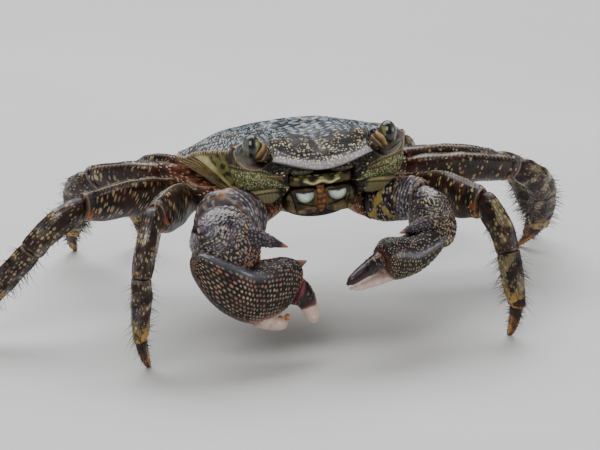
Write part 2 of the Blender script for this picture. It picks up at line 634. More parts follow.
def ball(centre, radii, rings=40, columns=60):
    """An ellipsoid: rings from its lower pole to its upper one."""
    polar = np.linspace(0.02, PI - 0.02, rings)[:, None]
    turn = circle(columns)[None, :]
    belt = np.sin(polar)
    way = np.stack([belt * np.cos(turn), belt * np.sin(turn), -np.cos(polar) + 0 * turn], -1)
    return centre + way * radii, way


# ---- limbs ----
def limb_frame(start, end, start_normal, end_normal, sideways, share, bow):
    """Centre, up and side of every ring, between two joint planes, bowed outward by sin(pi t)."""
    along = unit(end - start)
    out = unit(np.cross(sideways, along))
    t = share[:, None]
    first = start + start_normal * SEAM
    last = end - end_normal * SEAM
    normal = unit(lerp(start_normal, end_normal, t))
    side = unit(sideways - normal * (normal @ sideways)[:, None])
    up = np.cross(side, normal)
    shear = np.maximum(0.75, abs(up @ out))
    centre = lerp(first, last, t) + out * (bow * np.sin(PI * t))
    return centre, up, side, shear


def limb_rings(joint, shape, size, share, turn, bow=0.0, girth=1):
    """Rings of an oval limb: up times the top or bottom height, side times the half width."""
    centre, up, side, shear = limb_frame(*joint, share, bow)
    top = size * swell(shape["top"], share) / shear * girth
    bottom = size * swell(shape["bottom"], share) / shear * girth
    half = size * swell(shape["half"], share) * girth
    rise, lean = np.cos(turn), np.sin(turn)
    height = np.where(rise > 0, rise * top[:, None], rise * bottom[:, None])
    width = lean * half[:, None]
    return centre[:, None] + up[:, None] * height[..., None] + side[:, None] * width[..., None]


MERUS = {"top": (3.4, 4.3, 2.3), "bottom": (3.3, 3.7, 2.2), "half": (2.3, 2.5, 0.5)}
CARPUS = {"top": (3.7, 4, 0.5), "bottom": (3.1, 3.4, 0.3), "half": (2.2, 2.2, 0.3)}
PROPODUS = {"top": (3.9, 2.6, 0.6), "bottom": (3.3, 2.4, 0.5), "half": (2.1, 1.6, 0.3)}
CARPUS_BEND, DACTYL_BEND = 1.6, 0.5
DACTYL = {"top": (1.9, 0.9, 0.1), "bottom": (1.7, 0.7, 0.1), "half": (1.5, 0.7, 0.1)}
LEG_BASE = {"top": (3, 3.3, 0), "bottom": (2.8, 3.2, 0), "half": (3.2, 2.3, 0)}
CLAW_BASE = {"top": (3.4, 3.7, 0), "bottom": (3.2, 3.7, 0), "half": (3.4, 3.3, 0)}

# root, knee, foot, size, bow
LEGS = {
    "leg1_right": ((-29.9, -9.5, 35), (-44.4, -31.5, 37.8), (-46.6, -30.6, 0), 0.97, 0.2),
    "leg1_left": ((30.8, -9.5, 33), (38.8, -34.4, 34.6), (45.8, -37.2, 0), 1, 0.17),
    "leg2_right": ((-30.9, 2.5, 34), (-57.8, -9.9, 35.3), (-88, -0.3, 0), 1.05, 0.08),
    "leg2_left": ((31.6, 2.4, 35), (61.5, -2.4, 33), (76, 27.8, 0), 1.05, 0.15),
    "leg3_right": ((-31.3, 12.7, 36), (-47.5, 25, 32), (-46, 62, 0), 1, 0.05),
    "leg3_left": ((32.2, 11.2, 34.8), (60, 11.6, 31.6), (83, 38, 0), 1, 0.12),
    "leg4_right": ((-24.4, 21.8, 34.6), (-30.5, 38, 28.6), (-25, 61, 0), 0.85, 0.1),
    "leg4_left": ((25.8, 21.2, 34.6), (41, 35.6, 30.6), (59, 55, 0), 0.85, 0.1),
}


def leg_joints(root, knee, foot, bow):
    """The joint points, joint normals and the leg plane's normal, as the solids have them."""
    root, knee, foot = arr(*root), arr(*knee), arr(*foot)
    chord = foot - knee
    sideways = -unit(np.cross(knee - root, chord))
    out = unit(np.cross(sideways, chord))
    lift = out * np.linalg.norm(chord) * bow
    wrist = lerp(knee, foot, 0.33) + lift
    ankle = lerp(knee, foot, 0.74) + lift * 0.88
    ways = [unit(b - a) for a, b in ((root, knee), (knee, wrist), (wrist, ankle), (ankle, foot))]
    knee_normal = unit(lerp(ways[0], ways[1], 0.25))
    normals = [ways[0], knee_normal, unit(ways[1] + ways[2]), unit(ways[2] + ways[3]), arr(0, 0, -1)]
    points = [root, knee, wrist, ankle, foot + arr(0, 0, -SEAM)]
    return points, normals, sideways


def base_rings(root, root_normal, sideways, shape, size, share, turn):
    """The inner part of a limb, from inside the chest out to the root, in the body's frame and back."""
    outer = to_body(root)
    inner = arr(np.sign(outer[0]) * min(12, abs(outer[0]) * 0.5), outer[1] * 0.72, -13.2)
    normal, side = root_normal @ TURN_BODY, sideways @ TURN_BODY
    joint = (inner, outer, unit(outer - inner), normal, side)
    return to_floor(limb_rings(joint, shape, size, share, turn))


# ---- walking legs ----
TURN = circle(72)
BROWN = "2c1813"
CREAM = "b09c72"
OLIVE_CREAM = "988d60"


def rounded_ends(share, start=0.1, end=0.06, start_size=0.72, end_size=0.86):
    """Girth along a limb: it narrows into the joint before it and rounds off inside the joint after it."""
    lead = start_size + (1 - start_size) * smooth(0, start, share) ** 0.5
    tail = end_size + (1 - end_size) * smooth(1, 1 - end, share) ** 0.5
    return lead * tail


def limb_surface(joint, shape, size, count, bow, girth, face):
    """Rings with their millimetres along, angle from the crest, and which side looks forward."""
    share = np.linspace(0, 1, count)
    rings = limb_rings(joint, shape, size, share, TURN, bow, girth(share))
    length = np.linalg.norm(joint[1] - joint[0])
    turn = np.where(TURN > PI, TURN - 2 * PI, TURN)[None, :] * face
    return rings, share[:, None] + 0 * turn, share[:, None] * length + 0 * turn, turn + 0 * share[:, None]


def leg_merus(joint, size, face, seed):
    """A flattened oval with a toothed crest, slanting rows of pale dashes and a cuff at the knee."""
    def girth(share):
        return rounded_ends(share, 0.08, 0.03, 0.8, 0.92) * (1 + 0.06 * bump(0.93, 0.04, share))
    rings, share, along, turn = limb_surface(joint, MERUS, size, 150, 0.0, girth, face)
    around = abs(turn) * 3.3 * size
    crest = bump(0, 0.11, turn)
    teeth, _ = beads(along, 0 * along + 0.5, 1.05, 1.0, seed, 0.4, 0.1)
    wobble = drift(rings, 9, seed)
    dash_long, dash_wide = 0.5 * along + 0.87 * around, 0.87 * along - 0.5 * around
    middle = smooth(0.03, 0.1, share) * smooth(0.99, 0.95, share)
    lines = middle * smooth(2.4, 1.8, abs(turn)) * smooth(0.08, 0.2, abs(turn))
    relief = 0.32 * crest * (0.3 + 0.7 * teeth) * smooth(0.03, 0.1, share)
    relief = relief + 0.035 * np.cos(dash_wide * 2 * PI / 0.9) * lines
    relief = relief + 0.12 * drift(rings, 6, seed + 5) - 0.3 * bump(0.9, 0.01, share)
    rings = raised(rings, relief)
    knee = bump(0.95, 0.055, share) * smooth(1.1, 1.9, abs(turn))
    columns = smooth(-0.5, 0.5, np.sin(along * 2 * PI / 4.6 + 1.2 * wobble))
    blotches = (lines * (0.42 + 0.62 * columns), along / 1.05 + 7, around / 1.35 + seed, OLIVE_CREAM)
    dashes = (lines * (0.8 + 0.25 * wobble), dash_long / 2.1 + 7, dash_wide / 0.85 + seed, CREAM)
    return dressed(
        rings, 0.5 + 0.25 * smooth(1.3, 0.3, abs(turn)) + 0.1 * wobble, BROWN,
        ("130c0a", cloud(rings, 5, seed + 6, -0.2, 0.7)),
        ("3a2018", 0.8 * cloud(rings, 7, seed + 7, 0.35, 1.0)),
        ("4a1d14", 0.7 * smooth(0.2, 0.04, share)), ("94805c", 0.7 * crest * smooth(0.3, 0.8, teeth)),
        ("4a4650", 0.6 * bump(0.955, 0.02, share) * smooth(1.2, 0.4, abs(turn))),
        ("8a7458", 0.7 * bump(0.985, 0.007, share)), ("0c0908", bump(0.9, 0.014, share)),
        ("a0562a", knee * cloud(rings, 2.5, seed + 8, -0.4, 0.5)),
        grains=(blotches if face > 0 else dashes, (1.2 * knee, along / 0.9, around / 0.9, "b98a48")))


def leg_lower(joint, shape, size, bow, face, seed, kind):
    """Carpus or propodus: low ridges along it, oval cream spots between, yellow blotches toward the foot."""
    carpus = kind == "carpus"

    def girth(share):
        return rounded_ends(share, *((0.2, 0.03, 0.72) if carpus else (0.05, 0.05, 0.96)), 0.98)
    rings, share, along, turn = limb_surface(joint, shape, size, 120, bow, girth, face)
    around = abs(turn) * 3.0 * size
    ridge = sum(bump(place, 0.16, abs(turn)) for place in (0.45, 1.25, 2.1))
    blot = drift(rings, 5, seed + 1)
    low = 0 * share if carpus else smooth(0.45, 0.95, share)
    relief = 0.2 * ridge + 0.1 * drift(rings, 5, seed + 2) - 0.1 * bump(0.85, 0.25, abs(turn))
    rings = raised(rings, relief)
    middle = smooth(0.015, 0.05, share) * smooth(0.995, 0.965, share)
    cuff = bump(*((0.978, 0.012) if carpus else (0.02, 0.014)), share)
    marks = OLIVE_CREAM if face > 0 else CREAM
    return dressed(
        rings, 0.5 + 0.2 * blot + 0.2 * bump(0, 0.5, turn), BROWN,
        ("130c0a", cloud(rings, 4, seed + 3, 0.1, 0.9)),
        ("756742", (0.65 if face > 0 else 0.3) * smooth(0.35, 0.8, blot) * middle),
        ("a8843c", low * smooth(-0.4, 0.3, drift(rings, 3.0, seed + 5) + 2.6 * (share - 0.76))),
        ("120c0a", low * cloud(rings, 1.6, seed + 6, 0.45, 0.8)),
        ("57555f", 0.5 * bump(0, 0.4, turn) * cloud(rings, 7, seed + 4, 0.2, 0.7)),
        ("7d6b50", 0.7 * cuff * cloud(rings, 2, seed + 7, -0.6, 0.6)),
        ("a5642c", 0.8 * smooth(0.95, 0.985, share) * (not carpus)),
        grains=((middle * (0.78 + 0.25 * blot), along / 1.3, around / 0.8 + seed, marks),
                (1.2 * bump(0.45, 0.1, abs(turn)) * middle, along / 0.8, 3.5 + 0 * along, "a8a098")))


def leg_dactyl(joint, size, face, seed):
    """A flattened blade, brown at its root and orange toward its blunt point, with small dark spines."""
    def girth(share):
        return rounded_ends(share, 0.08, 0.1, 0.85, 0.6)
    rings, share, along, turn = limb_surface(joint, DACTYL, size, 80, DACTYL_BEND, girth, face)
    groove = bump(1.55, 0.35, abs(turn))
    relief = -0.16 * groove * smooth(0.05, 0.2, share) * smooth(1, 0.8, share)
    rings = raised(rings, relief)
    rings[-1, :, 2] = 0
    middle = smooth(0.05, 0.2, share) * smooth(0.95, 0.85, share)
    parts = [dressed(
        rings, 0.45, "24150f", ("8c5422", smooth(0.25, 0.8, share + 0.2 * drift(rings, 4, seed))),
        ("b98a3c", 0.9 * groove * smooth(0.25, 0.6, share + 0.1 * drift(rings, 3, seed + 1))),
        ("1c120c", smooth(0.88, 0.97, share)),
        grains=((middle, along / 1.3, abs(turn) * 1.8 / 0.9, "1a0f0a"),))]
    rng = np.random.default_rng(seed)
    normal = outward(rings)
    for column in (0, 9, 27, 36, 45, 63):
        for row in np.arange(10, 68, 9) + rng.integers(-2, 3):
            root = rings[row, column] - normal[row, column] * 0.15
            way = unit(normal[row, column] + 1.3 * unit(joint[1] - joint[0]))
            parts.append(spike(root, root + way * rng.uniform(0.5, 0.8), 0.16,
                               "2a1a10", "120c08", 4, 6))
    return parts


def hairs(roots, ways, lengths, places, radius, seed):
    """Tapered five-sided bristles: root + way t length + a droop that grows as t squared."""
    rng = np.random.default_rng(seed)
    side = unit(np.cross(ways, unit(rng.normal(size=ways.shape))))
    up = np.cross(side, ways)
    sides, steps = 5, 6
    t = np.linspace(0, 1, steps)[:, None, None]
    turn = circle(sides)
    droop = rng.normal(size=ways.shape) * 0.12 + arr(0, 0, -0.1)
    middle = roots + (ways * t + droop * t ** 2) * lengths[:, None]
    size = radius * (1 - 0.9 * t)
    round_way = np.cos(turn)[:, None, None] * side + np.sin(turn)[:, None, None] * up
    points = (middle[:, None] + round_way * size[:, None]).transpose(2, 0, 1, 3).reshape(-1, 3)
    patch = np.stack(np.meshgrid(np.arange(sides) / sides, np.arange(steps) / steps), -1)
    patch = patch.reshape(1, -1, 2) * 0.003
    row, column = np.meshgrid(np.arange(steps - 1) * sides, np.arange(sides), indexing="ij")
    after = (column + 1) % sides
    quads = np.stack([row + column, row + sides + column, row + sides + after, row + after], -1)
    last = (steps - 1) * sides
    fan = np.array([(0, 1, 2), (0, 2, 3), (0, 3, 4)])
    fan = np.vstack([fan, fan[:, [0, 2, 1]] + last])
    starts = np.arange(len(roots))[:, None, None] * sides * steps
    tint = rng.uniform(0.4, 1.3, (len(roots), 1, 1))
    return {
        "points": points, "quads": (starts + quads.reshape(1, -1, 4)).reshape(-1, 4),
        "triangles": (starts + fan).reshape(-1, 3),
        "skin": (np.broadcast_to(tone("2e241c"), (len(roots), sides * steps, 3)) * tint).reshape(-1, 3),
        "wet": np.full(len(points), 0.3), "flow": 0 * points, "grain": 0 * points,
        "unwrap": (places[:, None] + patch).reshape(-1, 2),
    }


def leg_bristles(joint, shape, size, bow, face, rows, lengths, count, seed):
    """Bristles in lines along a joint: each line is an angle from the crest; they lean toward the foot."""
    rng = np.random.default_rng(seed)
    pick = rng.uniform(rows[0], rows[1], count)
    line = rng.choice((-2.7, -2.2, -0.5, 0.0, 0.5, 2.2, 2.7, 3.1), count) + rng.normal(size=count) * 0.08
    share = np.sort(pick)
    rings = limb_rings(joint, shape, size, share, line * face, bow)
    own = np.arange(count)
    middle = rings.mean(1)
    roots = rings[own, own]
    out = unit(roots - middle)
    ways = unit(out + 0.5 * unit(joint[1] - joint[0]) + 0.25 * rng.normal(size=out.shape))
    places = np.stack([0.02 + 0.95 * share, 0.5 + line / 7], -1)
    return hairs(roots - out * 0.1, ways, rng.uniform(*lengths, count), places, 0.075, seed + 1)


def build_leg(name):
    """The shells and hairs of one leg; gives what its base in the chest needs."""
    *corners, size, bow = LEGS[name]
    points, normals, sideways = leg_joints(*corners, bow)
    face = -1 if name.endswith("right") else 1
    seed = 100 + 10 * list(LEGS).index(name)
    merus, *lower, dactyl = ((*points[i:i + 2], *normals[i:i + 2], sideways) for i in range(4))
    part = leg_merus(merus, size, face, seed)
    piece(f"{name}_merus_shell", [part], LEG_SHELL, "leg_shell", f"{name}_merus")
    tufts = [leg_bristles(joint, shape, size, bend, face, rows, lengths, count, seed + add)
             for joint, shape, bend, rows, lengths, count, add in (
                 (lower[0], CARPUS, CARPUS_BEND, (0.3, 0.95), (1.2, 2.4), 50, 60),
                 (lower[1], PROPODUS, 0.0, (0.04, 0.96), (2.0, 4.2), 150, 62),
                 (dactyl, DACTYL, DACTYL_BEND, (0.02, 0.6), (0.8, 2.0), 60, 64))]
    piece(f"{name}_bristles", tufts, BRISTLE, "leg_shell")
    for i, (kind, shape, bend) in enumerate((("carpus", CARPUS, CARPUS_BEND), ("propodus", PROPODUS, 0.0))):
        part = leg_lower(lower[i], shape, size, bend, face, seed + 1 + i, kind)
        piece(f"{name}_{kind}_shell", [part], LEG_SHELL, "leg_shell", f"{name}_{kind}")
    parts = leg_dactyl(dactyl, size, face, seed + 4)
    piece(f"{name}_dactyl_shell", parts, TIP_SHELL, "leg_tip", f"{name}_dactyl")
    return points[0], normals[0], sideways, LEG_BASE, size


# ---- claws ----
CLAWS = {
    "claw_right": {
        "root": (-15.4, -15.4, 31), "knee": (-27, -27, 32.8), "middle": (-28, -35, 31.4),
        "turn": (0.63, -0.28, -0.72), "radii": (9.0, 8.0, 6.8), "fill": 0.45,
        "spine": ((-23.5, -38.2, 34.0), (-14.5, -42, 31.2)),
        "arm": {"top": (4, 6.4, 3.2), "bottom": (4, 4.8, 1.8), "half": (3.6, 5.8, 2.6)},
        "palm": (-24.1, -38.6, 21), "axis": (0.896, 0, -0.445), "dorsal": (0.439, 0.163, 0.884),
        "finger": ((12.0, 3.6), (16.5, 3.2), (20.3, -2.2)),
        "thumb": ((4.6, -4.6), (10.8, -7.2), (13.4, -4.3)),
        "size": 1, "girth": 1, "flare": 0.2, "face": -1},
    "claw_left": {
        "root": (15.6, -15.2, 31.6), "knee": (25.8, -26, 34.6), "middle": (26.4, -32.4, 31),
        "turn": (0.14, -0.3, -0.94), "radii": (8.2, 5.2, 6.2), "fill": 0.3,
        "spine": ((23, -36, 31.6), (14.6, -40, 31.2)),
        "arm": {"top": (4, 4.8, 1.6), "bottom": (4, 4.2, 1.0), "half": (3.6, 4.2, 0.8)},
        "palm": (16.4, -40.4, 25.6), "axis": (-0.898, -0.423, -0.126), "dorsal": (0.047, -0.374, 0.927),
        "finger": ((12.0, 3.2), (18, 3.2), (25.4, -0.6)), "thumb": ((5.2, -4.4), (13.4, -5.4), (23.4, -3.4)),
        "size": 0.8, "girth": 0.7, "flare": 0.05, "face": 1},
}
# Palm sections from heel to finger joint: the crest point and the keel point (along, up), and the half width.
PALM = arr(
    (-15.6, 2.2, -15.4, 0.6, 0.9), (-14.6, 4.6, -13.2, -2.6, 3.6), (-11.4, 5.6, -8.6, -5.6, 5.4),
    (-6.4, 5.9, -3.6, -7.6, 6.2), (-1.5, 6.2, 0.8, -8.2, 6.2), (2.6, 8.0, 4.3, -7.9, 6.0),
    (6.4, 10.0, 7.0, -6.8, 5.6), (9.6, 10.4, 9.2, -4.6, 5.2), (12.2, 8.6, 11.2, -1.6, 4.6))
WHITE = "c9aea2"
FINGER = {"wide": (3.8, 1.7, -0.3), "thick": (3.2, 1.4, 0.2)}
THUMB = {"wide": (3.2, 1.2, -0.2), "thick": (3.4, 1.3, 0.2)}


def through(rows, share):
    """A smooth curve through evenly spaced rows of values (Catmull-Rom)."""
    rows = np.vstack([2 * rows[0] - rows[1], rows, 2 * rows[-1] - rows[-2]])
    place = np.clip(share, 0, 1) * (len(rows) - 3)
    first = np.minimum(place.astype(int), len(rows) - 4)
    t = (place - first)[:, None]
    a, b, c, d = (rows[first + i] for i in range(4))
    return b + 0.5 * t * (c - a + t * (2 * a - 5 * b + 4 * c - d + t * (3 * (b - c) + d - a)))


def palm_frame(claw):
    """The hand's own axes, and a function that places points in its middle plane."""
    axis = unit(arr(*claw["axis"]))
    dorsal = arr(*claw["dorsal"])
    dorsal = unit(dorsal - axis * (dorsal @ axis))

    def at(along, up):
        along, up = np.asarray(along, float)[..., None], np.asarray(up, float)[..., None]
        return arr(*claw["palm"]) + axis * along * claw["size"] + dorsal * up * claw["girth"]
    return axis, dorsal, np.cross(axis, dorsal), at


def palm_parts(claw, seed):
    """A stout hand: every section spans a crest point and a keel point, and swells sideways."""
    *_, side, at = palm_frame(claw)
    share = np.linspace(0, 1, 190)
    turn = circle(230)
    spread = 0.5 - 0.5 * np.cos(PI * np.minimum(share * 1.15, 1.0))
    section = through(PALM, lerp(share, spread, smooth(0.6, 0.0, share)))
    crest, keel = at(section[:, 0], section[:, 1]), at(section[:, 2], section[:, 3])
    tail = (0.8 + 0.2 * smooth(1, 0.95, share) ** 0.5)[:, None]
    up = (crest - keel) / 2 * tail
    half = section[:, 4:] * claw["girth"] * tail
    rise, lean = np.cos(turn)[None, :, None], np.sin(turn)[None, :, None]
    rings = ((crest + keel) / 2)[:, None] + up[:, None] * rise + side * lean * half[:, None]
    along = (share * 28 * claw["size"])[:, None] + 0 * turn
    bent = np.where(turn > PI, turn - 2 * PI, turn)[None, :] + 0 * along
    around = bent * 6.5 * claw["girth"]
    grown = share[:, None] + 0 * turn
    right = claw["face"] < 0
    ridge_end = (0.75, 0.5) if right else (0.97, 0.85)
    ridge = bump(0.92, 0.17, abs(bent)) * smooth(0.03, 0.15, grown) * smooth(*ridge_end, grown)
    pitch = arr(0.86, 0.98) if right else arr(0.86, 0.86)
    grain, grain_name = beads(along, around, *pitch, seed, 0.39 if right else 0.33, 0.14 if right else 0.26)
    small, small_name = beads(along, around, 0.72, 0.7, seed + 4, 0.38, 0.3)
    upper = smooth(0.9, 0.75, abs(bent))
    lower = smooth(2.3, 2.8, abs(bent))
    field = smooth(1.02, 1.12, abs(bent) + 0.3 * smooth(0.5, 0.7, grown))
    relief = 0.2 * grain * field * (1 - 0.6 * lower) + 0.13 * small * upper + 0.45 * ridge
    relief = relief + 0.1 * drift(rings, 8, seed + 6)
    rings = raised(rings, relief)
    flesh = smooth(0.955, 0.995, grown) if right else smooth(0.985, 1, grown)
    dots = field * smooth(0.25, 0.65, grain) * (1 - 0.5 * lower) * smooth(0.99, 0.95, grown)
    bright, warm = ("a3927a", "865f50") if right else ("b3a27c", "94825f")
    return dressed(
        rings, 0.4 + 0.6 * ridge, "140d0c", ("26160f", cloud(rings, 6, seed + 7, 0, 1)), ("55555b", ridge),
        ("8d8078", upper * smooth(0.35, 0.75, small) * (small_name > 0.35)),
        (bright, dots * (grain_name > 0.12) * (0.8 + 0.35 * drift(rings, 6, seed + 8))),
        (warm, dots * (grain_name > 0.7)),
        ("9c6440", dots * (grain_name > 0.95) * smooth(1.7, 1.3, abs(bent)) * right),
        ("6a3036" if right else "4a2a1a", flesh * 0.8),
        ("b9968a", 0.85 * smooth(2.2, 2.8, abs(bent)) * smooth(0.5, 0.8, grown)))


def finger_parts(claw, path, shape, grow, skins, seed):
    """A bent cone along a curve through the palm's plane, ending in a blunt spoon."""
    axis, _, side, at = palm_frame(claw)
    start, bend, tip = (at(*point) for point in path)
    share = np.linspace(0, 1, 80)
    t = share[:, None]
    way = unit(2 * (1 - t) * (bend - start) + 2 * t * (tip - bend))
    centre = (1 - t) ** 2 * start + 2 * t * (1 - t) * bend + t ** 2 * tip + axis * grow * (1 - t)
    normal = unit(lerp(axis, way, smooth(0, 0.4, t)))
    up = unit(np.cross(side, normal))
    blunt = np.sqrt(1 - 0.8 * smooth(0.8, 1, share) ** 2) * (0.85 + 0.15 * smooth(0, 0.06, share))
    wide = claw["girth"] * swell(shape["wide"], share) * blunt
    thick = claw["girth"] * swell(shape["thick"], share) * blunt
    turn = circle(72)
    height, lean = np.cos(turn) * wide[:, None], np.sin(turn) * thick[:, None]
    rings = centre[:, None] + up[:, None] * height[..., None] + side * lean[..., None]
    spot, _ = beads(share[:, None] * 11, turn[None, :] * 1.4, 1.3, 1.0, seed, 0.38, 0.3)
    grown = share[:, None] + 0 * turn
    relief = 0.12 * spot * smooth(0.6, 0.3, grown) + 0.05 * drift(rings, 4, seed)
    rings = raised(rings, relief)
    base, mid, end = skins
    dark = mid != WHITE
    return dressed(
        rings, 0.65, base, (mid, smooth(0.06, 0.2, grown + 0.05 * drift(rings, 5, seed + 1))),
        (end, smooth(0.5, 0.62, grown + 0.05 * drift(rings, 4, seed + 2))),
        ("7a3030", 0.7 * bump(0.54, 0.035, grown) * dark * (claw["face"] < 0)),
        grains=((smooth(0.6, 0.3, grown) * dark, share[:, None] * 16, turn[None, :] * 1.9, "8a6a4c"),))


def carpus_frame(claw):
    """The knob's own axes: down its length, across it, and toward its outer face."""
    length = unit(arr(*claw["turn"]))
    across = unit(np.cross(arr(0, -1, 0), length))
    return np.stack([length, across, np.cross(length, across)])


def carpus_parts(claw, knee, elbow_normal, seed):
    """A rounded knob, flat where it meets the arm, with an inner spine and granules in wavy rows."""
    _, dorsal, _, at = palm_frame(claw)
    right = claw["face"] < 0
    _, way = ball(arr(0, 0, 0), arr(1, 1, 1), 150, 200)
    own = carpus_frame(claw)
    rings = arr(*claw["middle"]) + (way * arr(*claw["radii"])) @ own
    down, across = way[..., 0], way[..., 1]
    turn = np.arctan2(way[..., 2], across)
    row = down * 9.5 + 0.5 * np.sin(turn * 3) + 0.45 * drift(rings, 5, seed + 4)
    belt = np.sqrt(np.clip(1 - down ** 2, 0.1, 1))
    grain, grain_name = beads(turn * 6.4 * np.round(belt * 5) / 5, row, 0.9, 0.85, seed, 0.4, 0.3)
    grain = grain * smooth(0.99, 0.93, abs(down))
    ruga = (0.5 + 0.5 * np.sin(row * 2 * PI / 0.85)) * smooth(0.3, -0.2, down)
    rough = 0.5 + 0.5 * smooth(-0.5, 0, down + 0.25 * drift(rings, 6, seed + 3))
    relief = 0.24 * grain * rough + 0.07 * ruga + 0.2 * drift(rings, 6, seed + 1)
    rings = raised(rings, relief)
    out_of_elbow = (rings - knee) @ elbow_normal
    radial = rings - knee - out_of_elbow[..., None] * elbow_normal
    fill = claw["fill"] * smooth(5.5, 0.5, out_of_elbow) * smooth(9.0, 5.0, np.linalg.norm(radial, axis=-1))
    rings = rings + radial * fill[..., None]
    for normal, point in ((elbow_normal, knee + elbow_normal * SEAM), (dorsal, at(0, 0))):
        rings = rings + normal * np.maximum(0, normal @ point - rings @ normal)[..., None]
    low = smooth(0.35, 0.7, down)
    dots = (0.35 + 0.65 * rough) * smooth(0.3, 0.7, grain)
    parts = [dressed(
        rings, 0.55 + 0.35 * smooth(0.2, -0.5, down), "211819" if right else "1a1312",
        ("453c46", (0.8 if right else 0.2) * cloud(rings, 7, seed + 2, -0.4, 0.7) * smooth(0.4, -0.3, down)),
        ("6b6472", 0.4 * smooth(0.5, 1, ruga) * smooth(0.3, -0.2, down)),
        ("7f7880" if right else "666058", dots * (grain_name > 0.3)),
        ("b0a078", dots * (grain_name > (0.74 if right else 0.6))),
        ("a5623a", low * dots * (grain_name > 0.35) * right),
        grains=((rough * smooth(0.95, 0.85, down), turn * 10, row * 1.4, "8d8070"),))]
    base, tip = (arr(*point) for point in claw["spine"])
    size = claw["size"]
    parts.append(spike(base, tip, 2.6 * size, "2a2329", "9a5a4a", 60, 60, 0.5, seed + 5))
    for share, lift in ((0.2, 2.5), (0.38, 2.0), (0.55, 1.5), (0.72, 1.1)):
        foot = lerp(base, tip, share) + arr(0, 0, 1.2 * size * (1 - share))
        point = foot + arr(0.5 * claw["face"] * -1, -0.4, 1.0) * lift * 0.7 * size
        parts.append(spike(foot, point, 0.6 * size, "2a1c1c", "b0604a", 8, 12))
    return parts


def claw_merus_parts(joint, claw, seed):
    """The thick upper arm: fine wrinkles across it and a flared collar with ring ridges at the elbow."""
    def girth(share):
        return rounded_ends(share, 0.1, 0.06, 0.8, 0.8) * (1 + claw["flare"] * smooth(0.55, 0.93, share))
    rings, share, along, turn = limb_surface(joint, claw["arm"], 1.0, 150, 0.0, girth, claw["face"])
    collar = smooth(0.62, 0.78, share)
    slant = along + 1.1 * turn + 0.6 * drift(rings, 6, seed)
    rugae = (0.5 + 0.5 * np.sin(slant * 2 * PI / 1.1)) ** 2
    arcs = 0.5 + 0.5 * np.sin(along * 2 * PI / 0.9 + 0.8 * drift(rings, 7, seed + 4))
    crest = bump(0, 0.12, turn)
    around_all = turn * 5.5
    teeth, _ = beads(along, 0 * along + 0.5, 1.1, 1.0, seed, 0.5, 0.1)
    pebble, pebble_name = beads(around_all, along, 0.95, 0.9, seed + 6, 0.42, 0.3)
    relief = 0.14 * rugae * (1 - collar) + 0.13 * arcs * collar + 0.3 * crest * (0.4 + 0.6 * teeth)
    relief = relief + 0.12 * pebble * (0.4 + 0.6 * collar) + 0.15 * drift(rings, 6, seed + 1)
    rings = raised(rings, relief)
    right = claw["face"] < 0
    around = abs(turn) * 5.5
    return dressed(
        rings, 0.5 + 0.2 * collar, "29232a" if right else "120e0d",
        ("655d6a" if right else "4a4448", 0.7 * rugae * cloud(rings, 4, seed + 2, -0.6, 0.5)),
        ("5f5866", 0.8 * collar * arcs), ("1c171b", 0.8 * collar * smooth(0.4, 0.1, arcs)),
        ("a89f98", collar * smooth(0.35, 0.75, pebble) * (pebble_name > 0.45)),
        ("a08a3c", 0.85 * cloud(rings, 3.2, seed + 3, 0.55, 0.85) * (1 - collar) * (not right)),
        ("8a7048", 0.8 * bump(0.972, 0.007, share)), ("a87850", 0.8 * crest * smooth(0.2, 0.7, teeth)),
        grains=(((1 - collar) * smooth(0.05, 0.15, share), along / 0.9, around / 1.3, "9a8f86"),))


def build_claw(name):
    """The shells of one claw; gives what its base in the chest needs."""
    claw = CLAWS[name]
    right = claw["face"] < 0
    seed = 300 if right else 340
    root, knee, middle = (arr(*claw[key]) for key in ("root", "knee", "middle"))
    merus_way = unit(knee - root)
    elbow_normal = unit(lerp(merus_way, unit(middle - knee), 0.35))
    sideways = unit(np.cross(merus_way, arr(0, 0, 1)))
    joint = (root, knee, merus_way, elbow_normal, sideways)
    at = palm_frame(claw)[3]
    thumb_root, crest_tip = ("8a6a60", "8a5a48") if right else ("5a3a30", "2e2420")
    carpus = carpus_parts(claw, knee, elbow_normal, seed + 10)
    hand = [palm_parts(claw, seed + 15),
            finger_parts(claw, claw["thumb"], THUMB, 0, (thumb_root, WHITE, WHITE), seed + 20)]
    for along, up, radius in ((11.5, -4.3, 0.85), (13.1, -3.2, 0.8)) if right else ():
        tooth, _ = ball(at(along, up), np.full(3, radius), 16, 20)
        hand.append(shell(tooth, "b98052", 0.7))
    hand.append(spike(at(9.6, 8.6), at(12.4, 11.2), 1.7 * claw["girth"], "241c1c", crest_tip, 12, 16))
    skins = ("78363e", "1d0d0f", WHITE) if right else ("4a2a18", "150c0c", "2a1616")
    finger = finger_parts(claw, claw["finger"], FINGER, GAP, skins, seed + 25)
    for kind, parts in (("merus", [claw_merus_parts(joint, claw, seed)]), ("carpus", carpus), ("palm", hand)):
        piece(f"{name}_{kind}_shell", parts, CLAW_SHELL, "claw_shell", f"{name}_{kind}")
    piece(f"{name}_finger_shell", [finger], FINGER_SHELL, "finger_shell", f"{name}_finger")
    return root, merus_way, sideways, CLAW_BASE, 1.0


